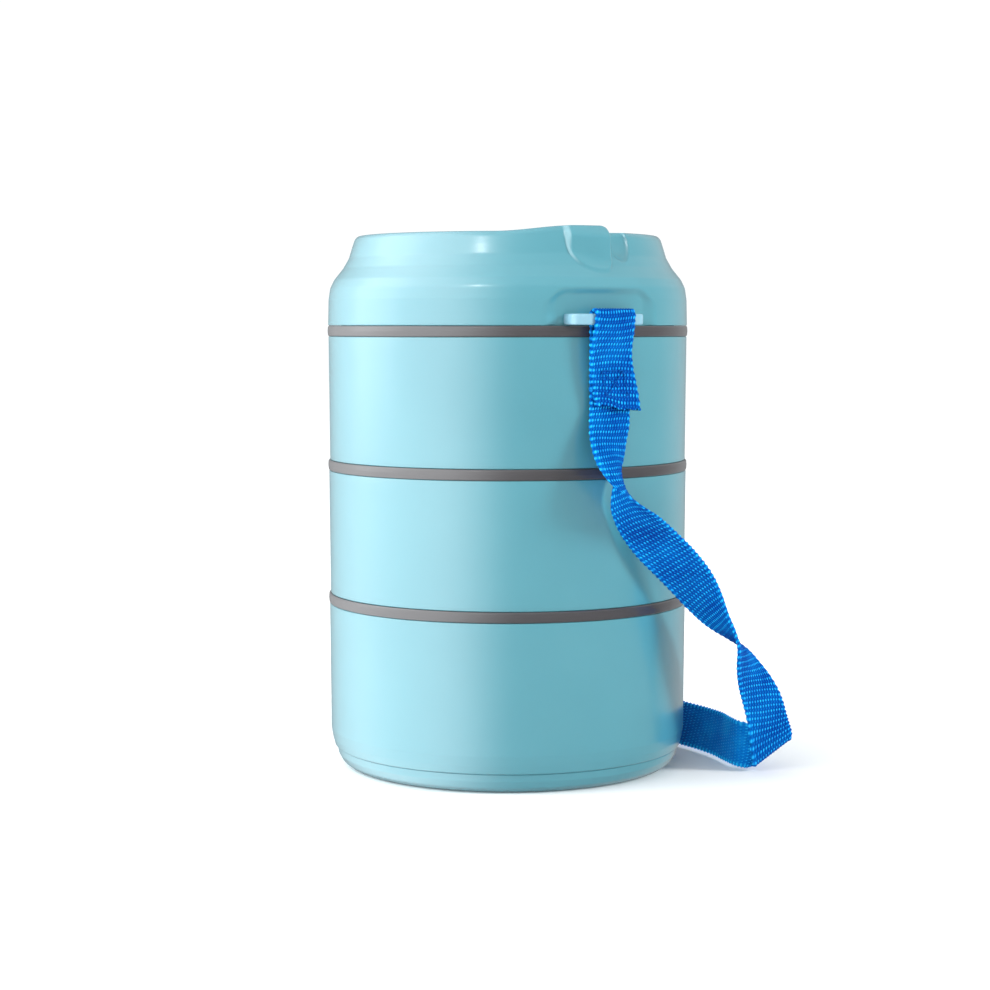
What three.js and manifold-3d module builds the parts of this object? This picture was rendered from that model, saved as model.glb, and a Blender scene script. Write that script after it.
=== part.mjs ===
// Three-tier tiffin carrier: stacked round food bowls under one lid, with a webbing carrying strap.
// Millimetres, +Z up. The origin is the centre of the foot ring, on the surface the carrier stands on.
// Front is -Y. The two strap lugs lie on one diameter, LUG_TURN degrees round from the front.
import * as THREE from 'three';
import { mergeVertices } from 'three/addons/utils/BufferGeometryUtils.js';
import Module from 'manifold-3d';

const wasm = await Module();
wasm.setup();

// ---- Driving dimensions ----
const SEGMENTS = 36;
const GAP = 0.3;

const BAND_RADIUS = 72.5;
const BAND_HEIGHT = 4.2;
const SHELL_TOP_RADIUS = 72.2;
const SHELL_LOW_RADIUS = 71.8;
const SHELL_INSIDE_RADIUS = 69.6;
const TIER_PITCH = 53.7;
const BOTTOM_TIER_PITCH = 70.1;

const NECK_OUTER = 66.9;
const NECK_INNER = 64.9;
const NECK_HEIGHT = 6.2;
const LOCK_LUGS = 3;
const LOCK_LUG_REACH = 67.6;
const SKIRT_INSIDE = 68.1;
const FLOOR_THICKNESS = 2;

const LINER_OUTER = 64.5;
const LINER_WALL = 0.7;
const LINER_CORNER = 9;
const GASKET_HEIGHT = 1.7;
const SKIRT_DEPTH = NECK_HEIGHT + LINER_WALL + GASKET_HEIGHT + 2 * GAP;
const FLOOR_TOP = SKIRT_DEPTH + FLOOR_THICKNESS;

const FOOT_HEIGHT = 7.6;
const FOOT_CAP_TOP = 4.5;
const LID_BASE = BOTTOM_TIER_PITCH + 2 * TIER_PITCH;
const LID_HEIGHT = 35.3;
const LID_WALL = 2.2;
const LID_DISH = 3.4;

const LUG_TURN = 31;
const POCKET_FLOOR_RADIUS = 69.7;
const POCKET_WIDTH = 49;
const POCKET_HEIGHT = 14.2;
const POCKET_CORNER = 6;

const GRIP_WIDTH = 23;
const GRIP_RISE = 2.4;
const GRIP_FACE_RADIUS = 66.5;

const BAR_LENGTH = 35;
const BAR_HEIGHT = 4.2;
const BAR_THICKNESS = 2.4;
const BAR_INNER_FACE = 74.8;
const BAR_LEG = 4;

const STRAP_WIDTH = 18;
const STRAP_THICKNESS = 1.6;
const SEWN_END_BOTTOM = 146;
const STITCH_MIDDLE = 154;
const STITCH_BOX = 10;
const THREAD = 0.7;

const PLASTIC = { color: 0x93cfdc, roughness: 0.38, metalness: 0 };
const INNER_PLASTIC = { color: 0xc4e3e8, roughness: 0.45, metalness: 0 };
const BAND_PLASTIC = { color: 0x8b8184, roughness: 0.5, metalness: 0 };
const STEEL = { color: 0xc9ccce, roughness: 0.25, metalness: 1 };
const SILICONE = { color: 0xe6e9e6, roughness: 0.6, metalness: 0 };
const WEBBING = { color: 0x0a6ed8, roughness: 0.85, metalness: 0 };

// Free run of the strap, from the front sewn end round to the back one. Each station is the centre
// x, y, z and the direction across the band, from its first selvedge to its second.
const STRAP_ROUTE = [
  [38.1, -63.4, 145.7, 0.86, 0.51, 0],
  [38, -65.2, 140, 0.86, 0.51, 0],
  [37.8, -66.9, 134.5, 0.79, 0.61, 0],
  [38.6, -68.6, 129, 0.68, 0.73, 0],
  [39.8, -70.3, 123.8, 0.5, 0.85, -0.1],
  [40.9, -71.6, 118.9, 0.16, 0.95, -0.2],
  [42.9, -70.9, 113.5, -0.27, 0.92, -0.25],
  [45.7, -68.4, 108.2, -0.62, 0.74, -0.25],
  [49.8, -64.8, 102.2, -0.8, 0.43, -0.4],
  [56.2, -60.1, 94.6, -0.88, 0.1, -0.42],
  [63.9, -55.5, 86.6, -0.85, 0.1, -0.5],
  [70.7, -51.2, 78.8, -0.72, 0.36, -0.57],
  [76.5, -47.5, 70.9, -0.5, 0.66, -0.55],
  [82, -44, 63, -0.24, 0.88, -0.4],
  [87.8, -40.6, 56.4, 0.02, 0.97, -0.25],
  [92, -37.8, 50.9, 0.25, 0.96, -0.15],
  [94.6, -35, 44.6, 0.5, 0.86, -0.06],
  [97.8, -32.2, 37.2, 0.74, 0.67, -0.02],
  [100.8, -29.6, 29.5, 0.86, 0.5, 0],
  [103, -27.4, 21.8, 0.9, 0.4, 0.12],
  [104.4, -26, 14.8, 0.87, 0.2, 0.42],
  [105.4, -25.4, 9.4, 0.8, 0.03, 0.6],
  [105.7, -24, 7.4, 0.79, 0, 0.61],
  [105.2, -22.4, 7.4, 0.79, 0, 0.61],
  [103.4, -21.4, 8, 0.7, 0, 0.71],
  [98.5, -20.2, 9, 0.3, 0.05, 0.95],
  [93.4, -16.4, 9.3, 0.1, 0.15, 0.97],
  [89.9, -6, 9.3, 0.12, 0.16, 0.97],
  [86.9, 6, 9.3, 0.2, 0.14, 0.96],
  [81.8, 18, 9.3, 0.24, 0.14, 0.96],
  [74, 32, 9.3, 0.25, 0.14, 0.96],
  [64.5, 53, 9.3, 0.22, 0.17, 0.96],
  [48, 73, 9.3, 0.15, 0.2, 0.97],
  [28, 86.5, 9.2, 0.05, 0.3, 0.95],
  [9, 91, 7.6, -0.3, 0.7, 0.65],
  [-6, 87.5, 4, -0.5, 0.83, 0.25],
  [-17.5, 81.6, 1.6, -0.51, 0.86, 0],
  [-29.5, 76.6, 4.8, -0.51, 0.86, 0],
  [-40, 73.5, 13, -0.51, 0.86, 0],
  [-44, 72, 26, -0.51, 0.86, 0],
  [-44.3, 71.4, 42, -0.45, 0.89, 0],
  [-43.2, 70, 60, 0, 1, 0],
  [-41.5, 68.3, 80, 0.5, 0.87, 0],
  [-40.6, 67.3, 102, 0.81, 0.59, 0],
  [-39.4, 65.4, 124, 0.86, 0.51, 0],
  [-38.1, 63.4, 145.7, 0.86, 0.51, 0],
];

const carrier = new THREE.Group();

// ---- Shape helpers ----

// A body of revolution about Z from one closed loop of [radius, height] points.
function turned(loop) {
  const points = loop.map(([radius, height]) => new THREE.Vector2(radius, height));
  if (THREE.ShapeUtils.area(points) < 0) {
    points.reverse();
  }
  const onAxis = points.filter((point) => point.x === 0);
  if (onAxis.length === 0) {
    points.push(points[0].clone());
  } else {
    while (points[0].x !== 0 || points[points.length - 1].x !== 0) {
      points.push(points.shift());
    }
  }
  const geometry = new THREE.LatheGeometry(points, SEGMENTS);
  geometry.rotateX(Math.PI / 2);
  return geometry;
}

// What belongs to a lug is drawn as if the lug faced the front, with -Y outward and +X to the
// right, and is then turned to its place: side 0 is the front lug, side 1 the back one.
function toLug(geometry, side) {
  geometry.rotateZ(THREE.MathUtils.degToRad(LUG_TURN) + side * Math.PI);
  return geometry;
}

function arc(centreRadius, centreHeight, radius, fromDegrees, toDegrees, steps) {
  const points = [];
  for (let i = 0; i <= steps; i += 1) {
    const angle = THREE.MathUtils.degToRad(fromDegrees + ((toDegrees - fromDegrees) * i) / steps);
    points.push([centreRadius + radius * Math.cos(angle), centreHeight + radius * Math.sin(angle)]);
  }
  return points;
}

function toSolid(geometry) {
  const bare = geometry.clone();
  bare.deleteAttribute('normal');
  bare.deleteAttribute('uv');
  const merged = mergeVertices(bare, 1e-4);
  const index = merged.index.array;
  const triangles = [];
  for (let i = 0; i < index.length; i += 3) {
    const [a, b, c] = [index[i], index[i + 1], index[i + 2]];
    if (a !== b && b !== c && c !== a) {
      triangles.push(a, b, c);
    }
  }
  return new wasm.Manifold(new wasm.Mesh({
    numProp: 3,
    vertProperties: new Float32Array(merged.attributes.position.array),
    triVerts: new Uint32Array(triangles),
  }));
}

function toGeometry(solid) {
  const mesh = solid.getMesh();
  const geometry = new THREE.BufferGeometry();
  geometry.setAttribute('position', new THREE.BufferAttribute(mesh.vertProperties, 3));
  geometry.setIndex(new THREE.BufferAttribute(mesh.triVerts, 1));
  geometry.computeVertexNormals();
  return geometry;
}

function add(name, geometry, finish, height = 0) {
  const mesh = new THREE.Mesh(geometry, new THREE.MeshStandardMaterial(finish));
  mesh.name = name;
  mesh.position.z = height;
  carrier.add(mesh);
}

// ---- Parts of one tier; heights are from the tier's own lower edge ----

// Outer wall of a stacking tier: a plain skirt that drops over the neck below, then the food wall.
function stackingShell(height) {
  return turned([
    [SKIRT_INSIDE, 0],
    [SHELL_LOW_RADIUS, 0],
    [SHELL_TOP_RADIUS, height],
    [SHELL_INSIDE_RADIUS, height],
    [SHELL_INSIDE_RADIUS, FLOOR_TOP + 4],
    [NECK_OUTER, FLOOR_TOP + 1.5],
    [NECK_OUTER, FLOOR_TOP + GAP],
    [SKIRT_INSIDE, FLOOR_TOP + GAP],
  ]);
}

// Outer wall of the bottom tier, drawn in at its lower edge where the foot cap closes it.
function bottomShell(height) {
  return turned([
    [68.6, FOOT_HEIGHT + GAP],
    [70.3, FOOT_HEIGHT + GAP],
    [71.2, 11],
    [SHELL_LOW_RADIUS, 14.5],
    [SHELL_TOP_RADIUS, height],
    [SHELL_INSIDE_RADIUS, height],
    [SHELL_INSIDE_RADIUS, 14.5],
    [68.6, 11],
  ]);
}

// Foot cap: rounded underside edge, flat foot ring, raised middle, and a spigot inside the wall.
function footCap() {
  return turned([
    [0, 2],
    [56, 2],
    [58, 0],
    [65, 0],
    [67.2, 1.6],
    [68.8, 4.4],
    [69.4, FOOT_HEIGHT],
    [68.2, FOOT_HEIGHT],
    [68.2, 12],
    [66.4, 12],
    [66.4, FOOT_CAP_TOP],
    [0, FOOT_CAP_TOP],
  ]);
}

// Floor disc that closes a tier, or the lid, above the neck of the tier below.
function floorDisc() {
  return turned([
    [0, SKIRT_DEPTH],
    [SKIRT_INSIDE - GAP, SKIRT_DEPTH],
    [SKIRT_INSIDE - GAP, FLOOR_TOP],
    [0, FLOOR_TOP],
  ]);
}

// Steel bowl with a rim turned out over the neck; floor and rim are the outer heights.
function liner(floor, rim) {
  const corner = LINER_OUTER - LINER_CORNER;
  const outside = arc(corner, floor + LINER_CORNER, LINER_CORNER, -90, 0, 4);
  const inside = arc(corner, floor + LINER_CORNER, LINER_CORNER - LINER_WALL, 0, -90, 4);
  return turned([
    [0, floor],
    ...outside,
    [LINER_OUTER, rim - LINER_WALL],
    [NECK_OUTER, rim - LINER_WALL],
    [NECK_OUTER, rim],
    [LINER_OUTER - LINER_WALL, rim],
    ...inside,
    [0, floor + LINER_WALL],
  ]);
}

// Band ring pressed into the top of a shell, with the neck that enters the tier above.
function collar() {
  const ring = turned([
    [NECK_INNER, 0],
    [67, 0],
    [67, -3],
    [SHELL_INSIDE_RADIUS - GAP, -3],
    [SHELL_INSIDE_RADIUS - GAP, 0],
    [BAND_RADIUS - 0.4, 0],
    [BAND_RADIUS, 0.4],
    [BAND_RADIUS, BAND_HEIGHT - 0.4],
    [BAND_RADIUS - 0.4, BAND_HEIGHT],
    [NECK_OUTER, BAND_HEIGHT],
    [NECK_OUTER, BAND_HEIGHT + NECK_HEIGHT],
    [NECK_INNER, BAND_HEIGHT + NECK_HEIGHT],
  ]);
  let solid = toSolid(ring);
  for (let i = 0; i < LOCK_LUGS; i += 1) {
    solid = solid.add(toSolid(lockLug((i * 2 * Math.PI) / LOCK_LUGS)));
  }
  return toGeometry(solid);
}

// One twist-lock lug: a short arc standing out of the neck.
function lockLug(start) {
  const sweep = THREE.MathUtils.degToRad(22);
  const outline = new THREE.Shape();
  outline.absarc(0, 0, LOCK_LUG_REACH, start, start + sweep, false);
  outline.absarc(0, 0, NECK_INNER + 1, start + sweep, start, true);
  const lug = new THREE.ExtrudeGeometry(outline, { depth: 2, bevelEnabled: false, curveSegments: 5 });
  lug.translate(0, 0, BAND_HEIGHT + 2.4);
  return lug;
}

// Silicone gasket between the liner's rim and the floor above.
function gasket() {
  return turned([
    [64.3, 0.4],
    [64.9, 0],
    [66.6, 0],
    [67.2, 0.4],
    [67.2, GASKET_HEIGHT - 0.4],
    [66.6, GASKET_HEIGHT],
    [64.9, GASKET_HEIGHT],
    [64.3, GASKET_HEIGHT - 0.4],
  ]);
}

// ---- Lid; heights are from the lid's lower edge ----

function lidCap() {
  const dish = LID_HEIGHT - LID_DISH;
  const shell = turned([
    [SKIRT_INSIDE, 0],
    [72.4, 0],
    [72.1, 10],
    [71.4, 14.8],
    [69.8, 17.9],
    [66.2, 22.4],
    [63.8, 26.6],
    [62.6, 30.6],
    [61.6, 33.6],
    [59.4, LID_HEIGHT],
    [57.4, LID_HEIGHT],
    [54, dish],
    [0, dish],
    [0, dish - LID_WALL],
    [55, dish - LID_WALL],
    [59.6, 29],
    [61.4, 25.2],
    [67.5, 16.4],
    [67.5, FLOOR_TOP + 1.5],
    [NECK_OUTER, FLOOR_TOP + 1],
    [NECK_OUTER, FLOOR_TOP + GAP],
    [SKIRT_INSIDE, FLOOR_TOP + GAP],
  ]);
  let solid = toSolid(shell);
  for (const side of [0, 1]) {
    solid = solid.subtract(toSolid(lugPocket(side)));
    solid = solid.add(toSolid(fingerGrip(side)));
    solid = solid.subtract(toSolid(fingerScoop(side)));
  }
  return toGeometry(solid);
}

// Shallow recess in the lid's skirt behind a strap bar, open below, with rounded upper corners.
function lugPocket(side) {
  const half = POCKET_WIDTH / 2;
  const shoulder = POCKET_HEIGHT - POCKET_CORNER;
  const outline = new THREE.Shape();
  outline.moveTo(-half, -1);
  outline.lineTo(half, -1);
  outline.lineTo(half, shoulder);
  outline.absarc(half - POCKET_CORNER, shoulder, POCKET_CORNER, 0, Math.PI / 2, false);
  outline.absarc(POCKET_CORNER - half, shoulder, POCKET_CORNER, Math.PI / 2, Math.PI, false);
  const block = new THREE.ExtrudeGeometry(outline, { depth: 20, bevelEnabled: false, curveSegments: 4 });
  block.rotateX(Math.PI / 2);
  block.translate(0, 20 - BAND_RADIUS - 4, 0);
  const core = turned([[0, -2], [POCKET_FLOOR_RADIUS, -2], [POCKET_FLOOR_RADIUS, 20], [0, 20]]);
  const pocket = toSolid(block).subtract(toSolid(core));
  return toLug(toGeometry(pocket), side);
}

// Rounded finger grip standing out of the lid's neck over each lug, to turn the lid by.
function fingerGrip(side) {
  const top = LID_HEIGHT + GRIP_RISE;
  const half = GRIP_WIDTH / 2;
  const outline = new THREE.Shape();
  outline.moveTo(-half, 28);
  outline.quadraticCurveTo(-half, 24, 1, 21.4);
  outline.quadraticCurveTo(half, 20, half, 25);
  outline.lineTo(half, top - 4);
  outline.quadraticCurveTo(half, top, half - 5, top);
  outline.lineTo(2 - half, top);
  outline.quadraticCurveTo(-half, top, -half, top - 2);
  const grip = new THREE.ExtrudeGeometry(outline, {
    depth: GRIP_FACE_RADIUS - 56,
    bevelEnabled: false,
    curveSegments: 4,
  });
  grip.rotateX(Math.PI / 2);
  grip.translate(0, -56, 0);
  return toLug(grip, side);
}

// Hollow beside each grip that gives the finger its hold.
function fingerScoop(side) {
  const scoop = new THREE.SphereGeometry(1, 14, 10);
  scoop.scale(6, 4, 10);
  scoop.translate(GRIP_WIDTH / 2 + 5, -62.5, LID_HEIGHT);
  return toLug(scoop, side);
}

// Staple that carries the strap: a straight bar with a leg at each end reaching into the pocket.
function strapBar(side) {
  const half = BAR_LENGTH / 2;
  const outer = -BAR_INNER_FACE - BAR_THICKNESS;
  const root = 1 - POCKET_FLOOR_RADIUS;
  const outline = new THREE.Shape();
  outline.moveTo(-half, root);
  outline.lineTo(1 - half, outer);
  outline.lineTo(half - 1, outer);
  outline.lineTo(half, outer + 1);
  outline.lineTo(half, root);
  outline.lineTo(half - BAR_LEG, root);
  outline.lineTo(half - BAR_LEG, -BAR_INNER_FACE);
  outline.lineTo(BAR_LEG - half, -BAR_INNER_FACE);
  outline.lineTo(BAR_LEG - half, root);
  const bar = new THREE.ExtrudeGeometry(outline, { depth: BAR_HEIGHT, bevelEnabled: false });
  return toLug(bar, side);
}

// ---- Strap ----

// Sewn end: the webbing goes round the bar and is doubled down to SEWN_END_BOTTOM.
function sewnEnd(side) {
  const ply = STRAP_THICKNESS;
  const eyeTop = BAR_HEIGHT + GAP;
  const bottom = SEWN_END_BOTTOM - LID_BASE;
  const inner = BAR_INNER_FACE - GAP;
  const outer = BAR_INNER_FACE + BAR_THICKNESS + GAP;
  const outline = new THREE.Shape();
  outline.moveTo(inner - ply, bottom);
  outline.lineTo(inner + ply, bottom);
  outline.lineTo(inner + ply, -9);
  outline.quadraticCurveTo(outer + ply, -4, outer + ply, 0);
  outline.lineTo(outer + ply, eyeTop);
  outline.absarc(outer, eyeTop, ply, 0, Math.PI / 2, false);
  outline.absarc(inner, eyeTop, ply, Math.PI / 2, Math.PI, false);
  const eye = new THREE.Path();
  eye.moveTo(inner, eyeTop);
  eye.lineTo(outer, eyeTop);
  eye.lineTo(outer, -1);
  eye.quadraticCurveTo(outer, -4, inner, -8);
  outline.holes.push(eye);
  const end = new THREE.ExtrudeGeometry(outline, {
    depth: STRAP_WIDTH,
    bevelEnabled: false,
    curveSegments: 4,
  });
  // The outline is drawn outward and up: it is stood up, turned to face the front, and centred.
  end.rotateX(Math.PI / 2);
  end.rotateZ(-Math.PI / 2);
  end.translate(STRAP_WIDTH / 2, 0, 0);
  return toLug(end, side);
}

// Box stitch with its two diagonals, as one thread lying on the outer ply of a sewn end.
function boxStitch(side) {
  const half = STITCH_BOX / 2;
  const outline = rectangle(half + THREAD / 2, new THREE.Shape());
  const near = THREAD;
  const far = half - THREAD / 2;
  const corner = far - THREAD;
  for (const [dx, dy] of [[1, 0], [0, 1], [-1, 0], [0, -1]]) {
    const hole = new THREE.Path();
    hole.moveTo(dx * near, dy * near);
    hole.lineTo(dx * far + dy * corner, dy * far + dx * corner);
    hole.lineTo(dx * far - dy * corner, dy * far - dx * corner);
    outline.holes.push(hole);
  }
  const thread = new THREE.ExtrudeGeometry(outline, { depth: THREAD, bevelEnabled: false });
  thread.rotateX(Math.PI / 2);
  thread.translate(0, -BAR_INNER_FACE - STRAP_THICKNESS, STITCH_MIDDLE - LID_BASE);
  return toLug(thread, side);
}

function rectangle(half, path) {
  path.moveTo(-half, -half);
  path.lineTo(half, -half);
  path.lineTo(half, half);
  path.lineTo(-half, half);
  return path;
}

// Smooth band path whose cross direction follows the stations, for a flat section.
class BandPath extends THREE.CatmullRomCurve3 {
  constructor(stations) {
    super(stations.map(([x, y, z]) => new THREE.Vector3(x, y, z)));
    this.across = new THREE.CatmullRomCurve3(
      stations.map((station) => new THREE.Vector3(station[3], station[4], station[5])),
    );
  }

  getSpacedPoints(steps) {
    return this.getPoints(steps);
  }

  // The cross line may lie aslant to the run; it is lengthened so that the band keeps its width.
  computeFrenetFrames(steps) {
    const frames = { tangents: [], normals: [], binormals: [] };
    for (let i = 0; i <= steps; i += 1) {
      const tangent = this.getTangent(i / steps);
      const across = this.across.getPoint(i / steps).normalize();
      const face = new THREE.Vector3().crossVectors(tangent, across);
      frames.tangents.push(tangent);
      frames.normals.push(across.divideScalar(face.length()));
      frames.binormals.push(face.normalize());
    }
    return frames;
  }
}

function strapRun() {
  const [w, t] = [STRAP_WIDTH / 2, STRAP_THICKNESS / 2];
  const section = new THREE.Shape();
  section.moveTo(-w, -t);
  section.lineTo(w, -t);
  section.lineTo(w, t);
  section.lineTo(-w, t);
  return new THREE.ExtrudeGeometry(section, {
    steps: 2 * (STRAP_ROUTE.length - 1),
    extrudePath: new BandPath(STRAP_ROUTE),
  });
}

// ---- Assembly ----

const tiers = [
  { name: 'bottom', base: 0, pitch: BOTTOM_TIER_PITCH, bowlFloor: FOOT_CAP_TOP + 2 },
  { name: 'middle', base: BOTTOM_TIER_PITCH, pitch: TIER_PITCH, bowlFloor: FLOOR_TOP + 2 },
  { name: 'top', base: BOTTOM_TIER_PITCH + TIER_PITCH, pitch: TIER_PITCH, bowlFloor: FLOOR_TOP + 2 },
];

for (const { name, base, pitch, bowlFloor } of tiers) {
  const bandBase = pitch - GAP - BAND_HEIGHT;
  const wallTop = bandBase - GAP;
  const rim = bandBase + BAND_HEIGHT + NECK_HEIGHT + GAP + LINER_WALL;
  if (name === 'bottom') {
    add('bottom_shell', bottomShell(wallTop), PLASTIC, base);
    add('foot_cap', footCap(), PLASTIC, base);
  } else {
    add(`${name}_shell`, stackingShell(wallTop), PLASTIC, base);
    add(`${name}_floor`, floorDisc(), INNER_PLASTIC, base);
  }
  add(`${name}_liner`, liner(bowlFloor, rim), STEEL, base);
  add(`${name}_band`, collar(), BAND_PLASTIC, base + bandBase);
  add(`${name}_gasket`, gasket(), SILICONE, base + rim + GAP);
}

add('lid_cap', lidCap(), PLASTIC, LID_BASE);
add('lid_floor', floorDisc(), INNER_PLASTIC, LID_BASE);

for (const [side, place] of [[0, 'front'], [1, 'back']]) {
  add(`strap_bar_${place}`, strapBar(side), PLASTIC, LID_BASE);
  add(`strap_end_${place}`, sewnEnd(side), WEBBING, LID_BASE);
  add(`stitching_${place}`, boxStitch(side), WEBBING, LID_BASE);
}
add('strap', strapRun(), WEBBING);

export default carrier;
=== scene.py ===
"""Looks of the three-tier tiffin carrier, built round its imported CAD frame.

Lengths below are in millimetres and become metres where a mesh is made. Heights named local are
counted from the underside of the tier or lid that they belong to. A place beside a strap bar is
given as (x, s, z): x to the right along the bar, s outward from the stack's axis, z up.
"""

import math

import bmesh
import bpy
import numpy as np
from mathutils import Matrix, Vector


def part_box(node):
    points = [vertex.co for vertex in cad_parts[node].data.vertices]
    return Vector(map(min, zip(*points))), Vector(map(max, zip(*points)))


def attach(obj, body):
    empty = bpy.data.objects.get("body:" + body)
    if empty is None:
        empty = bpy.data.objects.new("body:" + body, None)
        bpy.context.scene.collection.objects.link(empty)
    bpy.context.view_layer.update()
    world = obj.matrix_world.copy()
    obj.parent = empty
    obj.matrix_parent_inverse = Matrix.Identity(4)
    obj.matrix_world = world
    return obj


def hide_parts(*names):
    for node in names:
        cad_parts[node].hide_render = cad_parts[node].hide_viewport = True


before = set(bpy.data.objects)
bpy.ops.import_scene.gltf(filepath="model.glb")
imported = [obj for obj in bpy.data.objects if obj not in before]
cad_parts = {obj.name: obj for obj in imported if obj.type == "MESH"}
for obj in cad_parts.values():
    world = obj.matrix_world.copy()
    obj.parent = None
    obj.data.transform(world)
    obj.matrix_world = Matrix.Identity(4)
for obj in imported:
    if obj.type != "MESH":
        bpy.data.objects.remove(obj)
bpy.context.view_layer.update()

MM = 0.001
UP = np.array([0.0, 0.0, 1.0])

# ---- Sizes taken from the frame, in millimetres ----


def low(node):
    return np.array(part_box(node)[0]) / MM


def high(node):
    return np.array(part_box(node)[1]) / MM


BAND_BASES = {tier: low(f"{tier}_band")[2] + 3 for tier in ("bottom", "middle", "top")}
TIER_BASES = {tier: low(f"{tier}_shell")[2] for tier in ("middle", "top")}
LID_BASE = low("lid_cap")[2]
BAND_RADIUS = high("bottom_band")[0]
BAR_BASE, BAR_TOP = low("strap_bar_front")[2], high("strap_bar_front")[2]
# Clearance between parts, and how far a wall reaches into the seam beside a band.
GAP = 0.3
SEAM = 0.26
BAR_DEGREES = 31
BAR_TURN = math.radians(BAR_DEGREES)
FLOOR_HEIGHT = -0.4

# ---- Strap sizes ----

STRAP_WIDTH = 18.0
STRAP_THICKNESS = 1.6
SEWN_END_BOTTOM = 146.0
INNER_PLY, OUTER_PLY = 73.7, 78.3
SEWN_SURFACE = 76.3
# How far the webbing runs on behind each sewn end's outer ply.
HIDDEN_LAP = 8.0
# The station where the webbing folds on the floor. It looks plain for a while after it.
FOLD_STATION = 22
# Weave: length of one row of floats, yarn columns across the width, height of a float over the
# core, and the faint float's share of that height.
ROW_PITCH = 2.4
COLUMNS = 30
YARN_RELIEF = 0.34
FAINT_FLOAT = 0.55
STRAP_SPACING = ROW_PITCH / 6
SELVEDGE = (0, 1, 2, COLUMNS - 2, COLUMNS - 1, COLUMNS)

# Centre line of the strap's free run from the front sewn end to the back one, as in the CAD source:
# each station is x, y, z, then the direction across the webbing.
STRAP_ROUTE = [
    [38.1, -63.4, 145.7, 0.86, 0.51, 0],
    [38, -65.2, 140, 0.86, 0.51, 0],
    [37.8, -66.9, 134.5, 0.79, 0.61, 0],
    [38.6, -68.6, 129, 0.68, 0.73, 0],
    [39.8, -70.3, 123.8, 0.5, 0.85, -0.1],
    [40.9, -71.6, 118.9, 0.16, 0.95, -0.2],
    [42.9, -70.9, 113.5, -0.27, 0.92, -0.25],
    [45.7, -68.4, 108.2, -0.62, 0.74, -0.25],
    [49.8, -64.8, 102.2, -0.8, 0.43, -0.4],
    [56.2, -60.1, 94.6, -0.88, 0.1, -0.42],
    [63.9, -55.5, 86.6, -0.85, 0.1, -0.5],
    [70.7, -51.2, 78.8, -0.72, 0.36, -0.57],
    [76.5, -47.5, 70.9, -0.5, 0.66, -0.55],
    [82, -44, 63, -0.24, 0.88, -0.4],
    [87.8, -40.6, 56.4, 0.02, 0.97, -0.25],
    [92, -37.8, 50.9, 0.25, 0.96, -0.15],
    [94.6, -35, 44.6, 0.5, 0.86, -0.06],
    [97.8, -32.2, 37.2, 0.74, 0.67, -0.02],
    [100.8, -29.6, 29.5, 0.86, 0.5, 0],
    [103, -27.4, 21.8, 0.9, 0.4, 0.12],
    [104.4, -26, 14.8, 0.87, 0.2, 0.42],
    [105.4, -25.4, 9.4, 0.8, 0.03, 0.6],
    [105.7, -24, 7.4, 0.79, 0, 0.61],
    [105.2, -22.4, 7.4, 0.79, 0, 0.61],
    [103.4, -21.4, 8, 0.7, 0, 0.71],
    [98.5, -20.2, 9, 0.3, 0.05, 0.95],
    [93.4, -16.4, 9.3, 0.1, 0.15, 0.97],
    [89.9, -6, 9.3, 0.12, 0.16, 0.97],
    [86.9, 6, 9.3, 0.2, 0.14, 0.96],
    [81.8, 18, 9.3, 0.24, 0.14, 0.96],
    [74, 32, 9.3, 0.25, 0.14, 0.96],
    [64.5, 53, 9.3, 0.22, 0.17, 0.96],
    [48, 73, 9.3, 0.15, 0.2, 0.97],
    [28, 86.5, 9.2, 0.05, 0.3, 0.95],
    [9, 91, 7.6, -0.3, 0.7, 0.65],
    [-6, 87.5, 4, -0.5, 0.83, 0.25],
    [-17.5, 81.6, 1.6, -0.51, 0.86, 0],
    [-29.5, 76.6, 4.8, -0.51, 0.86, 0],
    [-40, 73.5, 13, -0.51, 0.86, 0],
    [-44, 72, 26, -0.51, 0.86, 0],
    [-44.3, 71.4, 42, -0.45, 0.89, 0],
    [-43.2, 70, 60, 0, 1, 0],
    [-41.5, 68.3, 80, 0.5, 0.87, 0],
    [-40.6, 67.3, 102, 0.81, 0.59, 0],
    [-39.4, 65.4, 124, 0.86, 0.51, 0],
    [-38.1, 63.4, 145.7, 0.86, 0.51, 0],
]

# Half the angle that the webbing curls through across its width, in radians, at these stations.
CURL = {2: 0.1, 3: 0.35, 4: 0.75, 5: 1.1, 6: 0.85, 7: 0.45, 8: 0.15}


# ---- Scene, camera and light ----


CAMERA_PLACE = (-5.03, -892, 177.2)
CAMERA_TILT = 4.4
CAMERA_LENS, CAMERA_SENSOR = 80, 36

ROOM_LIGHT = 0.33
LEFT_WALL_LIGHT = 2.7
BACK_RIGHT_LIGHT = 0.4
CEILING_LIGHT = 0.35
BACK_WALL_SHARE = 0.3
BACKDROP_LIGHT = 1.05
KEY_POWER = 18
SOFTBOX_POWER = 6
SHEEN_POWER = 1.9
GLINT_POWER = 1.3


def clear_scene_extras():
    for name in ("Cube", "Light", "Camera"):
        if name in bpy.data.objects:
            bpy.data.objects.remove(bpy.data.objects[name])


def add_camera():
    data = bpy.data.cameras.new("camera")
    data.lens, data.sensor_width = CAMERA_LENS, CAMERA_SENSOR
    camera = bpy.data.objects.new("camera", data)
    camera.location = np.array(CAMERA_PLACE) * MM
    camera.rotation_euler = (math.radians(90 - CAMERA_TILT), 0, 0)
    bpy.context.scene.collection.objects.link(camera)
    bpy.context.scene.camera = camera


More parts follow.
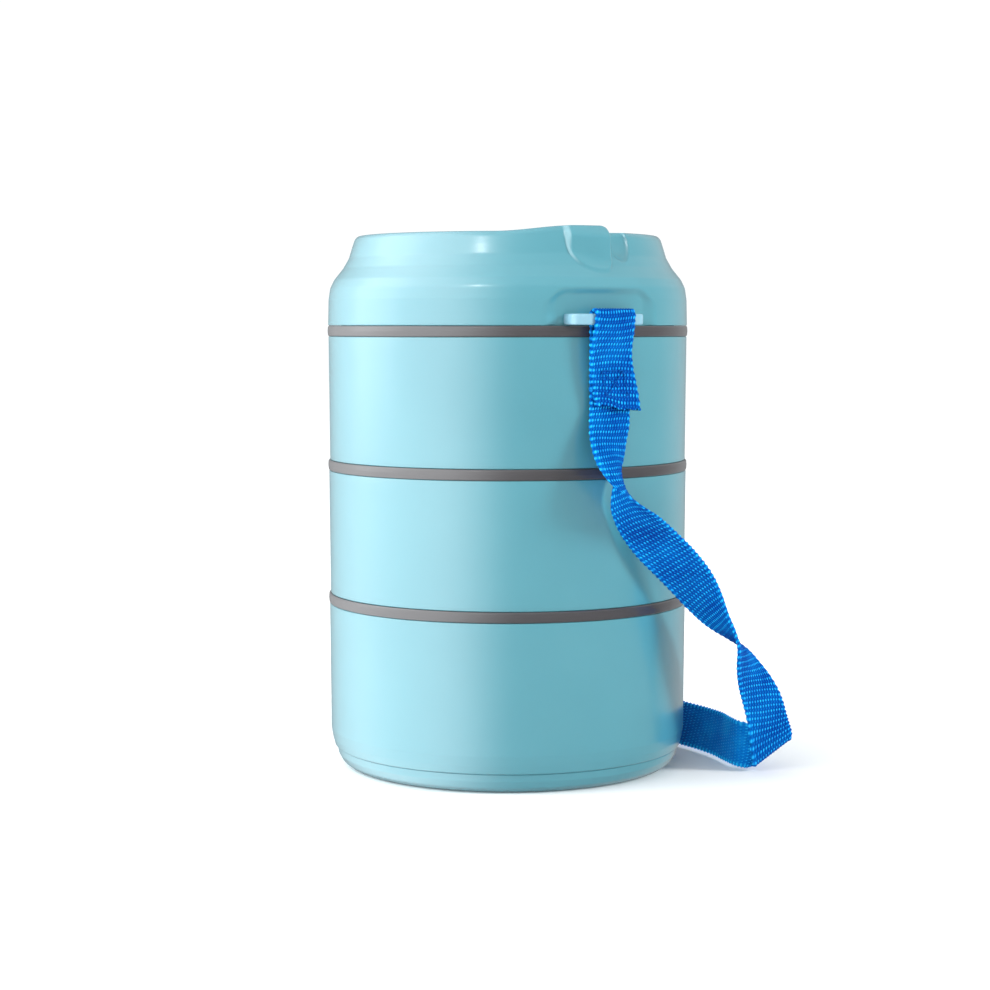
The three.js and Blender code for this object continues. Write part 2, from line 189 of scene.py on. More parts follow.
def add_area(name, place, target, size, power, glossy=False):
    """A soft panel of light. A glossy one shows only in reflections, the others never do."""
    data = bpy.data.lights.new(name, "AREA")
    data.shape, data.size, data.size_y = "RECTANGLE", size[0], size[1]
    data.energy = power
    light = bpy.data.objects.new(name, data)
    light.location = place
    aim = Vector(target) - Vector(place)
    light.rotation_euler = aim.to_track_quat("-Z", "Y").to_euler()
    light.visible_camera = False
    light.visible_glossy = glossy
    light.visible_diffuse = not glossy
    bpy.context.scene.collection.objects.link(light)


def combined(tree, operation, a, b, clamp=False):
    """A math node on two values, each a number or another node's output."""
    node = tree.nodes.new("ShaderNodeMath")
    node.operation, node.use_clamp = operation, clamp
    for socket, value in zip(node.inputs, (a, b)):
        if isinstance(value, (int, float)):
            socket.default_value = value
        else:
            tree.links.new(value, socket)
    return node.outputs[0]


def light_scene():
    """Soft studio: a white room seen by the camera, brighter on the left than on the right."""
    world = bpy.data.worlds.new("studio")
    bpy.context.scene.world = world
    world.use_nodes = True
    tree = world.node_tree
    background = tree.nodes["Background"]
    background.inputs["Color"].default_value = (0.97, 0.99, 1, 1)
    direction = tree.nodes.new("ShaderNodeTexCoord").outputs["Generated"]
    axes = tree.nodes.new("ShaderNodeSeparateXYZ")
    tree.links.new(direction, axes.inputs[0])

    def ranged(output, start, end, low_value, high_value):
        node = tree.nodes.new("ShaderNodeMapRange")
        node.interpolation_type = "SMOOTHSTEP"
        limits = {"From Min": start, "From Max": end, "To Min": low_value, "To Max": high_value}
        for key, value in limits.items():
            node.inputs[key].default_value = value
        tree.links.new(output, node.inputs["Value"])
        return node.outputs["Result"]

    x, y, z = axes.outputs[:3]
    sides = ranged(x, 0.12, -0.72, ROOM_LIGHT, LEFT_WALL_LIGHT)
    sky = ranged(z, -0.1, 1, 0, CEILING_LIGHT)
    behind = ranged(y, 0.1, 0.95, 1, BACK_WALL_SHARE)
    room = combined(tree, "MULTIPLY", combined(tree, "ADD", sides, sky), behind)
    rightward = ranged(x, 0, 0.4, 0, BACK_RIGHT_LIGHT)
    rightward = combined(tree, "MULTIPLY", rightward, ranged(y, 0.25, 0.75, 0, 1))
    room = combined(tree, "ADD", room, rightward)
    seen = tree.nodes.new("ShaderNodeLightPath").outputs["Is Camera Ray"]
    white = combined(tree, "MULTIPLY", seen, BACKDROP_LIGHT)
    unseen = combined(tree, "SUBTRACT", 1, seen)
    strength = combined(tree, "ADD", white, combined(tree, "MULTIPLY", unseen, room))
    tree.links.new(strength, background.inputs["Strength"])
    add_area("key", (1.36, -0.5, 0.7), (0, 0, 0.12), (0.35, 0.5), KEY_POWER)
    add_area("left softbox", (-1.1, -0.3, 0.55), (0, 0, 0.12), (0.5, 0.7), SOFTBOX_POWER)
    add_area("sheen", (-1.25, 0.05, 0.6), (0, 0, 0.15), (0.9, 1.1), SHEEN_POWER, glossy=True)
    add_area("glint", (-0.45, -1.2, 1.0), (0, 0, 0.2), (0.1, 0.22), GLINT_POWER, glossy=True)
    bpy.context.scene.view_settings.view_transform = "Standard"


# ---- Meshes ----


def make_mesh(name, points, faces, uv=None):
    """A smooth piece from points in millimetres. uv, a pair per point, is kept as 'weave'."""
    data = bpy.data.meshes.new(name)
    data.from_pydata([tuple(p) for p in np.asarray(points, float) * MM], [], faces)
    data.polygons.foreach_set("use_smooth", [True] * len(data.polygons))
    if uv is not None:
        layer = data.uv_layers.new(name="weave")
        loops = np.zeros(len(data.loops), np.int32)
        data.loops.foreach_get("vertex_index", loops)
        layer.data.foreach_set("uv", np.asarray(uv, np.float32)[loops].ravel())
    data.update()
    piece = bpy.data.objects.new(name, data)
    bpy.context.scene.collection.objects.link(piece)
    return piece


def place_piece(piece, body, material, node):
    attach(piece, body)
    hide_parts(node)
    piece.data.materials.append(material)


def rounded(corners, steps=5):
    """Outline (r, z, fillet radius) with its corners turned into arcs, as an open list of points."""
    line = []
    count = len(corners)
    for i, (r, z, radius) in enumerate(corners):
        here = np.array([r, z])
        before = np.array(corners[i - 1][:2])
        after = np.array(corners[(i + 1) % count][:2])
        inward, outward = before - here, after - here
        reach = min(np.linalg.norm(inward), np.linalg.norm(outward))
        if radius <= 0 or r <= 0 or reach < 1e-6:
            line.append(here)
            continue
        inward, outward = inward / np.linalg.norm(inward), outward / np.linalg.norm(outward)
        half = math.acos(max(-1, min(1, float(inward @ outward)))) / 2
        cut = min(radius / max(math.tan(half), 1e-3), reach * 0.48)
        start, end = here + inward * cut, here + outward * cut
        for k in range(steps + 1):
            t = k / steps
            line.append((1 - t) ** 2 * start + 2 * t * (1 - t) * here + t**2 * end)
    return line


def subdivided(line, longest, fine_points=0, fine=None):
    """The closed line with points added so that no step is longer than longest, or than fine
    after each of the first fine_points points."""
    result = []
    for i, point in enumerate(line):
        following = line[(i + 1) % len(line)]
        limit = fine if i < fine_points else longest
        if point[0] <= 0 and following[0] <= 0:
            result.append(point)
            continue
        count = max(1, math.ceil(np.linalg.norm(following - point) / limit))
        result += [point + (following - point) * k / count for k in range(count)]
    return result


def lathe_faces(rings, around, on_axis):
    """Quads between closed rings; rings on the axis are single points. Returns faces and starts."""
    starts, total = [], 0
    for single in on_axis:
        starts.append(total)
        total += 1 if single else around
    faces = []
    for i in range(rings):
        j = (i + 1) % rings
        if on_axis[i] and on_axis[j]:
            continue
        for k in range(around):
            m = (k + 1) % around
            if on_axis[i]:
                faces.append((starts[i], starts[j] + k, starts[j] + m))
            elif on_axis[j]:
                faces.append((starts[i] + m, starts[i] + k, starts[j]))
            else:
                faces.append((starts[i] + m, starts[i] + k, starts[j] + k, starts[j] + m))
    return faces


def lathe(name, line, base=0.0, angles=None, shape=None, shaped=None):
    """Closed body of revolution. shape(r, z, angle) moves the points of the first shaped rings."""
    if angles is None:
        angles = np.linspace(0, 2 * math.pi, 193)[:-1]
    points = []
    on_axis = [point[0] <= 1e-6 for point in line]
    for i, ((r, z), single) in enumerate(zip(line, on_axis)):
        if single:
            points.append([[0, 0, z + base]])
            continue
        radii, heights = np.full(len(angles), float(r)), np.full(len(angles), float(z))
        if shape is not None and (shaped is None or i < shaped):
            radii, heights = shape(radii, heights, angles)
        # Angle 0 points to the front, -Y, and grows towards +X.
        points.append(
            np.column_stack([radii * np.sin(angles), -radii * np.cos(angles), heights + base])
        )
    faces = lathe_faces(len(line), len(angles), on_axis)
    return make_mesh(name, np.vstack(points), faces)


def smoothstep(a, b, x):
    t = np.clip((np.asarray(x, float) - a) / (b - a), 0, 1)
    return t * t * (3 - 2 * t)


# ---- Strap ----


def catmull(points, per_segment):
    """Smooth line through the points, by distance, like the CAD's curve."""
    points = np.asarray(points, float)
    padded = np.vstack([2 * points[0] - points[1], points, 2 * points[-1] - points[-2]])
    result = []
    for i in range(1, len(padded) - 2):
        p0, p1, p2, p3 = padded[i - 1 : i + 3]
        pairs = ((p0, p1), (p1, p2), (p2, p3))
        d0, d1, d2 = [max(np.linalg.norm(b[:3] - a[:3]), 1e-4) ** 0.5 for a, b in pairs]
        m1 = ((p1 - p0) / d0 - (p2 - p0) / (d0 + d1) + (p2 - p1) / d1) * d1
        m2 = ((p2 - p1) / d1 - (p3 - p1) / (d1 + d2) + (p3 - p2) / d2) * d1
        for k in range(per_segment):
            t = k / per_segment
            a = 2 * t**3 - 3 * t**2 + 1
            b = t**3 - 2 * t**2 + t
            result.append(a * p1 + b * m1 + (1 - a) * p2 + (t**3 - t**2) * m2)
    result.append(padded[-2])
    return np.array(result)


def resample(line, spacing):
    """Rows of the line (x, y, z, more...) at even distances along it."""
    steps = np.linalg.norm(np.diff(line[:, :3], axis=0), axis=1)
    along = np.concatenate([[0], np.cumsum(steps)])
    count = int(round(along[-1] / spacing))
    wanted = np.linspace(0, along[-1], count + 1)
    return np.column_stack([np.interp(wanted, along, column) for column in line.T]), wanted


def unit(rows):
    return rows / np.linalg.norm(rows, axis=-1, keepdims=True)


def smooth_rows(rows, sigma):
    """Gaussian blur along the first axis, with the ends held."""
    reach = int(3 * sigma)
    weights = np.exp(-0.5 * (np.arange(-reach, reach + 1) / sigma) ** 2)
    weights /= weights.sum()
    padded = np.vstack([np.repeat(rows[:1], reach, 0), rows, np.repeat(rows[-1:], reach, 0)])
    return np.column_stack([np.convolve(column, weights, "valid") for column in padded.T])


def section_side(u, outline, curl, half):
    """Place across and out of the flat of a section curled into an arc of the webbing's width."""
    bent = np.abs(curl) > 1e-3
    safe = np.where(bent, curl, 1e-3)
    radius = half / safe
    side = np.where(bent, radius * np.sin(safe * u) * outline, half * u * outline)
    sag = np.where(bent, radius * (np.cos(safe * u) - np.sin(safe) / safe), 0)
    return side, sag


def float_height(turns, odd):
    """How far a yarn column stands up, 0 to 1: one tall and one faint float in every two rows."""
    place = (turns + odd) % 2

    def hump(centre, half_length):
        away = np.abs((place - centre + 1) % 2 - 1)
        return 0.5 + 0.5 * np.cos(math.pi * np.clip(away / half_length, 0, 1))

    return hump(0, 0.42) + FAINT_FLOAT * hump(0.5, 0.3)


def waver(u, along):
    """Small local stretch of the weave, so that its rows aren't ruled lines."""
    slow = 0.28 * np.sin(along / 7.3 + 2.1 * u) * (0.4 + u * u)
    return slow + 0.16 * np.sin(along / 3.9 - 3.4 * u + 1) + 0.3 * u * np.sin(along / 17)


def webbing(name, centres, across, curl, along, spread=1.0, pull=None, plain=0.0):
    """Woven band swept along centres. Floats stand up in rows, those of one row half a column
    beside those of the next, and both selvedges are thicker, beaded cords. across is the unit
    direction over the width, curl the half angle of the section's arc, spread a width factor, and
    pull(u), where given, moves a yarn's points along the webbing. plain, 0 to 1, flattens the
    floats."""
    rows = len(centres)
    tangent = unit(np.gradient(centres, axis=0))
    facing = np.cross(tangent, across)
    reach = 1 / np.clip(np.linalg.norm(facing, axis=1), 0.35, 1)
    normal = unit(facing)
    half, core = STRAP_WIDTH / 2, STRAP_THICKNESS / 2 - YARN_RELIEF
    points, uv, edge = [], [], []
    for face in (1, -1):
        for j in range(COLUMNS + 1):
            rim = j in (0, COLUMNS)
            if rim and face == -1:
                continue
            u = 2 * j / COLUMNS - 1
            woven_along = along + waver(u, along)
            turns = woven_along / ROW_PITCH
            cord = 0.5 + 0.5 * np.cos(2 * math.pi * turns + (2 if u > 0 else 0))
            if rim:
                lift = np.zeros(rows)
            elif j in SELVEDGE:
                lift = face * (core + YARN_RELIEF * (0.35 + 0.65 * cord))
            else:
                lift = face * (core + YARN_RELIEF * (1 - 0.6 * plain) * float_height(turns, j % 2))
            bead = 1 + 0.045 * (cord - 0.5) * rim
            side, sag = section_side(u, bead, curl, half)
            side = side * spread - lift * np.sin(curl * u)
            out = sag + lift * np.cos(curl * u)
            place = centres + across * (side * reach)[:, None] + normal * out[:, None]
            if pull is not None:
                place = place + tangent * pull(u)[:, None]
            points.append(place)
            uv.append(np.column_stack([np.full(rows, half * u), woven_along]) * 0.01)
            edge.append(np.full(rows, float(j in SELVEDGE)))
    front = list(range(COLUMNS + 1))
    back = [0] + list(range(COLUMNS + 1, 2 * COLUMNS)) + [COLUMNS]
    faces = []
    for order, flip in ((front, False), (back, True)):
        for a, b in zip(order[:-1], order[1:]):
            for i in range(rows - 1):
                quad = (a * rows + i, b * rows + i, b * rows + i + 1, a * rows + i + 1)
                faces.append(quad[::-1] if flip else quad)
    ring = front + back[-2:0:-1]
    faces.append(tuple(column * rows for column in ring)[::-1])
    faces.append(tuple(column * rows + rows - 1 for column in ring))
    piece = make_mesh(name, np.vstack(points), faces, uv=np.vstack(uv))
    flat = np.tile(np.zeros(rows) + plain, 2 * COLUMNS)
    for label, values in (("selvedge", np.concatenate(edge)), ("plain", flat)):
        attribute = piece.data.attributes.new(label, "FLOAT", "POINT")
        attribute.data.foreach_set("value", values.astype(np.float32))
    return piece


def strap_path():
    stations = np.array(STRAP_ROUTE, float)
    stations[:, 3:6] = unit(stations[:, 3:6])
    curl = np.array([CURL.get(i, 0) for i in range(len(stations))])
    line = catmull(np.column_stack([stations, curl]), 24)
    line, along = resample(line, STRAP_SPACING)
    soft = smooth_rows(line[:, 3:7], 4)
    return line[:, :3], unit(soft[:, :3]), soft[:, 3], along


def build_strap(material):
    centres, across, curl, along = strap_path()
    # The webbing goes on behind each flap for a short way, to meet the inner ply of the sewn end.
    hidden = int(HIDDEN_LAP / STRAP_SPACING)
    start = centres[0] + np.outer(np.arange(hidden, 0, -1) * STRAP_SPACING, UP)
    finish = centres[-1] + np.outer(np.arange(1, hidden + 1) * STRAP_SPACING, UP)
    line = smooth_rows(np.vstack([start, centres, finish]), 2)
    widthwise = np.pad(across, ((hidden, hidden), (0, 0)), "edge")
    curls = np.pad(curl, hidden)
    fold = np.argmin(np.linalg.norm(line - STRAP_ROUTE[FOLD_STATION][:3], axis=1))
    run = np.arange(len(line)) * STRAP_SPACING
    past_fold = run - run[fold]
    plain = smoothstep(0, 16, past_fold) * (1 - smoothstep(40, 90, past_fold))
    piece = webbing("webbing_strap", line, widthwise, curls, run, plain=plain)
    place_piece(piece, "carry_strap", material, "strap")
    return piece, centres[::6]


def bar_frame(side):
    turn = BAR_TURN + side * math.pi
    right = np.array([math.cos(turn), math.sin(turn), 0])
    outward = np.array([math.sin(turn), -math.cos(turn), 0])
    return right, outward


# Heights down the outer ply of a sewn end, with its sideways drift and its spread there.
FLAP_HEIGHTS = [146.4, 149, 153, 158, 162, 169, 174, 182]
FLAP_DRIFT = [3.0, 2.5, 1.5, 0.3, -0.5, -1.2, -0.6, 0.1]
FLAP_SPREAD = [1.14, 1.13, 1.1, 1.08, 1.07, 1.06, 1.03, 1.0]


def build_sewn_end(side, place, material):
    """The webbing's end: up the inner ply, round the bar, and down the outer ply to a cut edge."""
    right, outward = bar_frame(side)
    inner, outer, eye_top = INNER_PLY, OUTER_PLY, BAR_TOP + GAP
    bend = 0.8
    profile = [
        [inner, SEWN_END_BOTTOM + HIDDEN_LAP - 0.8],
        [inner, 158],
        [inner, 166],
        [inner + 0.05, 173],
        [inner, 178],
        [inner, eye_top - 0.6],
        [inner + bend, eye_top + 0.7],
        [(inner + outer) / 2, eye_top + 0.95],
        [outer - bend, eye_top + 0.7],
        [outer, eye_top - 0.6],
        [outer, 178.5],
        [outer - 0.25, 175.5],
        [outer - 1.3, 171.5],
        [outer - 2.35, 167],
        [outer - 2.75, 162],
        [outer - 2.8, 156],
        [outer - 2.7, 150.5],
        [outer - 2.2, 146.4],
    ]
    line, along = resample(catmull([[s, 0, z] for s, z in profile], 16), STRAP_SPACING)
    heights = line[:, 2]
    on_outer = np.arange(len(line)) > np.argmax(heights)
    # The outer ply wanders sideways and spreads a little towards its frayed end.
    drift = np.where(on_outer, np.interp(heights, FLAP_HEIGHTS, FLAP_DRIFT), 0)
    spread = np.where(on_outer, np.interp(heights, FLAP_HEIGHTS, FLAP_SPREAD), 1)
    drift, spread = smooth_rows(drift[:, None], 8), smooth_rows(spread[:, None], 8)
    ripple = 0.12 * np.sin(along / 3.1) * on_outer
    centres = drift * right + np.outer(line[:, 0] + ripple, outward) + np.outer(heights, UP)
    across = np.repeat(right[None], len(centres), 0)
    curl = np.where(on_outer, 0.15 * np.sin(along / 5.0), 0)
    frayed = smoothstep(along[-1] - 7, along[-1], along)
    tip = smoothstep(along[-1] - 1.6, along[-1], along)
    tufts = np.random.default_rng(3 + side).uniform(-0.55, 0.55, COLUMNS + 1)

    def pull(u):
        """The cut edge hangs lower on the right, and its yarns end at different lengths."""
        yarn = tufts[int(round((u + 1) / 2 * COLUMNS))]
        return frayed * (0.2 + 1.3 * u + 0.45 * math.sin(5 * u + 1)) + tip * yarn

    name = f"sewn_end_{place}"
    piece = webbing(name, centres, across, curl, along, spread=spread[:, 0], pull=pull)
    place_piece(piece, "carry_strap", material, f"strap_end_{place}")
    return piece


def build_stitching(side, place, material):
    """Box stitch with a cross, as separate thread floats pressed into the outer ply."""
    right, outward = bar_frame(side)
    middle, half, radius = 155.5, 4.9, 0.24
    corners = [(-half, -half), (half, -half), (half, half), (-half, half)]
    lines = [(corners[i], corners[(i + 1) % 4]) for i in range(4)]
    lines += [(corners[0], corners[2]), (corners[1], corners[3])]
    mesh = bmesh.new()
    for (ax, az), (bx, bz) in lines:
        a, b = np.array([ax, az]), np.array([bx, bz])
        count = max(1, int(round(np.linalg.norm(b - a) / 2.3)))
        for k in range(count):
            begin = a + (b - a) * (k + 0.08) / count
            end = a + (b - a) * (k + 0.92) / count
            thread_float(mesh, begin, end, radius, middle, right, outward)
    data = bpy.data.meshes.new(f"box_stitch_{place}")
    mesh.to_mesh(data)
    mesh.free()
    data.polygons.foreach_set("use_smooth", [True] * len(data.polygons))
    piece = bpy.data.objects.new(f"box_stitch_{place}", data)
    bpy.context.scene.collection.objects.link(piece)
    place_piece(piece, "carry_strap", material, f"stitching_{place}")
    return piece


def thread_float(mesh, begin, end, radius, middle, right, outward):
    """One stitch: a short thread that rises out of the webbing and dips back into it."""
    steps, sides = 8, 8
    direction = (end - begin) / np.linalg.norm(end - begin)
    rings = []
    for i in range(steps + 1):
        t = i / steps
        point = begin + (end - begin) * t
        rise = 0.36 * math.sin(math.pi * t) - 0.2
        thick = radius * (0.55 + 0.45 * math.sin(math.pi * t))
        ring = []
        for k in range(sides):
            turn = 2 * math.pi * k / sides
            side_step = np.array([-direction[1], direction[0]]) * thick * math.cos(turn)
            x, z = point + side_step
            sway = np.interp(z + middle, FLAP_HEIGHTS, FLAP_DRIFT)
            s = SEWN_SURFACE + rise + thick * math.sin(turn)
            place = right * (x + sway) + outward * s + UP * (z + middle)
            ring.append(mesh.verts.new(place * MM))
        rings.append(ring)
    for a, b in zip(rings[:-1], rings[1:]):
        for k in range(sides):
            m = (k + 1) % sides
            mesh.faces.new((a[k], a[m], b[m], b[k]))
    mesh.faces.new(rings[0][::-1])
    mesh.faces.new(rings[-1])


# ---- Shells, bands, bowls ----


def build_bottom_shell(material):
    line = rounded([
        (68.55, 7.9 - SEAM, 0.3),
        (70.25, 7.9 - SEAM, 1.1),
        (71.1, 11, 3),
        (71.75, 14.8, 8),
        (72.15, 65.3 + SEAM, 0.5),
        (69.7, 65.3 + SEAM, 0.3),
        (69.7, 14.5, 4),
        (68.7, 11, 2),
    ])
    piece = lathe("bottom_tier_shell", subdivided(line, 6))
    place_piece(piece, "bottom_tier", material, "bottom_shell")


def build_tier_shell(tier, material):
    """Wall of an upper tier, with the shelf that its floor rests on."""
    top = BAND_BASES[tier] - GAP - TIER_BASES[tier]
    line = rounded([
        (68.2, -SEAM, 0.25),
        (71.75, -SEAM, 0.5),
        (72.15, top + SEAM, 0.5),
        (69.7, top + SEAM, 0.3),
        (69.7, 12.6, 0.3),
        (67.1, 12.2, 0.3),
        (67.1, 11.5, 0.15),
        (68.2, 11.5, 0.15),
    ])
    piece = lathe(f"{tier}_tier_shell", subdivided(line, 5), TIER_BASES[tier])
    place_piece(piece, f"{tier}_tier", material, f"{tier}_shell")


def build_foot(material):
    line = rounded([
        (0, 2, 0),
        (54, 2, 0.6),
        (56.5, 0, 1.2),
        (65, 0, 3),
        (67.4, 1.9, 3),
        (68.9, 4.6, 2),
        (69.5, 7.6, 0.9),
        (68.25, 7.6, 0.15),
        (68.25, 12, 0.3),
        (66.4, 12, 0.3),
        (66.4, 4.5, 1),
        (0, 4.5, 0),
    ])
    piece = lathe("foot_ring_cap", subdivided(line, 6))
    place_piece(piece, "bottom_tier", material, "foot_cap")


def build_band(tier, material):
    """Grey collar: the visible band, the spigot in the shell, the lugged neck."""
    base = BAND_BASES[tier]
    line = rounded([
        (67.05, -3, 0.3),
        (69.25, -3, 0.3),
        (69.25, -0.02, 0.05),
        (BAND_RADIUS - 0.55, 0, 0.3),
        (BAND_RADIUS - 0.15, 0.45, 0.5),
        (BAND_RADIUS + 0.02, 2.1, 3),
        (BAND_RADIUS - 0.12, 3.7, 0.5),
        (BAND_RADIUS - 0.5, 4.2, 0.3),
        (66.85, 4.2, 0.3),
        (66.85, 6.4, 0.15),
        (66.86, 6.6, 0.1),
        (66.86, 8.6, 0.1),
        (66.85, 8.8, 0.15),
        (66.85, 10.4, 0.4),
        (64.95, 10.4, 0.4),
        (64.95, 2.1, 0.5),
        (67.05, 0, 0.5),
    ])
    third = 2 * math.pi / 3
    lug_half = math.radians(11)

    def with_lugs(radii, heights, angles):
        on_lug = (heights > 6.5) & (heights < 8.7) & (radii > 66.7)
        turn = np.abs((angles + third / 2) % third - third / 2)
        grown = 0.72 * (1 - smoothstep(lug_half - 0.03, lug_half, turn))
        return np.where(on_lug, radii + grown, radii), heights

    angles = np.linspace(0, 2 * math.pi, 289)[:-1]
    piece = lathe(f"{tier}_tier_band", subdivided(line, 3), base, angles, with_lugs)
    place_piece(piece, f"{tier}_tier", material, f"{tier}_band")


def build_liner(tier, material):
    """Spun steel bowl with a rolled rim, rounded floor corner and a shallow base step."""
    lowest, highest = low(f"{tier}_liner")[2], high(f"{tier}_liner")[2]
    depth = highest - lowest
    outer, wall, corner = 64.45, 0.7, 9
    flange = 66.8
    line = rounded([
        (0, 0.45, 0),
        (38, 0.45, 0.5),
        (39.2, 0, 0.6),
        (outer, 0, corner),
        (outer, depth - wall, 0.2),
        (flange, depth - wall, 0.28),
        (flange, depth, 0.3),
        (outer - wall, depth, 0.8),
        (outer - wall, wall, corner - wall),
        (39.6, wall, 0.6),
        (38.4, wall + 0.45, 0.5),
        (0, wall + 0.45, 0),
    ], steps=9)
    piece = lathe(f"{tier}_steel_bowl", subdivided(line, 5), lowest)
    place_piece(piece, f"{tier}_tier", material, f"{tier}_liner")


def build_gasket(tier, material):
    """Silicone ring with two sealing lips on each side."""
    base = low(f"{tier}_gasket")[2]
    top = high(f"{tier}_gasket")[2] - base
    inside, outside = 64.35, 67.15
    middle = (inside + outside) / 2
    line = rounded([
        (inside, 0.25, 0.15),
        (inside + 0.6, 0, 0.3),
        (middle, 0.35, 0.4),
        (outside - 0.6, 0, 0.3),
        (outside, 0.3, 0.2),
        (outside, top - 0.3, 0.2),
        (outside - 0.6, top, 0.3),
        (middle, top - 0.35, 0.4),
        (inside + 0.6, top, 0.3),
        (inside, top - 0.25, 0.15),
    ], steps=4)
    piece = lathe(f"{tier}_seal_ring", line, base)
    place_piece(piece, f"{tier}_seal", material, f"{tier}_gasket")


def build_floor(node, body, material):
    """Disc that closes a tier from above, with two pressed rings underneath for stiffness."""
    base = low(node)[2]
    top = high(node)[2] - base
    reach = high(node)[0]
    line = rounded([
        (0, 0.5, 0),
        (30, 0.5, 0.4),
        (30.8, 0.05, 0.4),
        (34.2, 0.05, 0.4),
        (35, 0.5, 0.4),
        (52, 0.5, 0.4),
        (52.8, 0.05, 0.4),
        (56.2, 0.05, 0.4),
        (57, 0.5, 0.4),
        (60, 0, 0.6),
        (reach - 0.05, 0, 0.3),
        (reach - 0.05, top, 0.3),
        (0, top, 0),
    ], steps=4)
    piece = lathe(f"{node}_disc", subdivided(line, 6), base)
    place_piece(piece, body, material, node)


# ---- Lid ----

POCKET_FLOOR = 70.1
BAR_LEFT_END, BAR_RIGHT_END = -17.5, 14.5
GRIP_FACE = 66.3
RIM_TOP = 35.3


def lid_angles():
    """Angles round the lid, close together over both strap bars."""
    near = 27
    wide = np.arange(BAR_DEGREES + near, BAR_DEGREES + 180 - near, 1.5)
    fine = np.arange(BAR_DEGREES - near, BAR_DEGREES + near, 0.25)
    one = np.concatenate([fine, wide])
    return np.radians(np.concatenate([one, one + 180]))


def lid_shape(radii, heights, angles):
    """Moves the lid's outer surface out at the grips and in at the scoops and strap pockets."""
    local = (np.degrees(angles) - BAR_DEGREES + 90) % 180 - 90
    # Strap pocket: a window in the skirt with soft edges and rounded upper corners, open below.
    x = np.radians(local) * 72
    corner, half, top = 8.0, 23.5, 12.9
    dx = np.maximum(np.abs(x) - (half - corner), 0)
    dz = np.maximum(heights - (top - corner), 0)
    soft = 3.6 - 2.0 * smoothstep(6, 11, heights)
    depth = 1 - smoothstep(-soft, soft, np.hypot(dx, dz) - corner)
    skirt = (heights < 20) & (radii > POCKET_FLOOR)
    radii = np.where(skirt, radii + (POCKET_FLOOR - radii) * depth, radii)
    # Rim: swells gently up to the grip and drops behind it.
    swell = smoothstep(-36, -6, local) * (1 - smoothstep(2.6, 8.2, local))
    outward = smoothstep(52, 57, radii)
    heights = heights + 2.3 * swell * smoothstep(22, RIM_TOP - 1, heights) * outward
    # Grip: stands out of the neck, deepest at its right end; its lower edge is a skewed bow.
    bow = np.where(local < 1.5, (local - 1.5) / 12.4, (local - 1.5) / 5.8)
    level = 32.5 - 12.2 * np.sqrt(np.clip(1 - np.abs(bow) ** 2.2, 0, 1))
    inside = smoothstep(level - 1.0, level + 1.2, heights)
    inside *= smoothstep(-11.8, -9.0, local) * (1 - smoothstep(4.0, 7.8, local))
    face = 63.4 + (GRIP_FACE - 63.4) * smoothstep(-14, 4, local)
    over_rim = smoothstep(RIM_TOP - 2.5, RIM_TOP + 2.6, heights)
    stands_out = face - radii
    push = np.logaddexp(0, 2.2 * (stands_out - 0.6)) / 2.2 + 1.1
    push = push * inside * (1 - 0.5 * over_rim) * smoothstep(57.2, 60.5, radii)
    radii = radii + np.where(heights > 15, push, 0)
    # Scoop: a finger hollow just behind the grip.
    hollow = ((local - 11.4) / 5.4) ** 2 + ((heights - 32.5) / 8.4) ** 2
    sunk = 3.2 * np.clip(1 - hollow, 0, 1) ** 0.55 * smoothstep(56.5, 59.5, radii)
    return radii - np.where(heights > 20, sunk, 0), heights


def build_lid(material):
    outside = [
        (68.2, -SEAM, 0.3),
        (72.3, -SEAM, 0.6),
        (72.05, 10, 8),
        (71.4, 14.6, 6),
        (69.8, 17.9, 5),
        (66.2, 22.4, 9),
        (63.8, 26.6, 6),
        (62.6, 30.6, 6),
        (61.5, 34.0, 3),
        (60.2, 35.3, 1.6),
        (57.2, 35.3, 2.2),
        (54, 31.9, 4),
        (26, 32.1, 40),
        (0, 32.2, 0),
    ]
    inside = [
        (0, 29.7, 0),
        (55, 29.7, 2),
        (59.2, 29, 2),
        (61.2, 25.2, 3),
        (67.3, 16.6, 3),
        (67.3, 12.8, 0.4),
        (67.0, 12.3, 0.2),
        (67.0, 11.5, 0.15),
        (68.2, 11.5, 0.15),
    ]
    outline = rounded(outside + inside)
    wall_points = next(i for i, point in enumerate(outline) if point[0] < 53)
    line = subdivided(outline, 4, wall_points, 0.55)
    on_axis = [i for i, point in enumerate(line) if point[0] <= 0]
    piece = lathe("lid_dome", line, LID_BASE, lid_angles(), lid_shape, shaped=on_axis[0])
    place_piece(piece, "lid", material, "lid_cap")


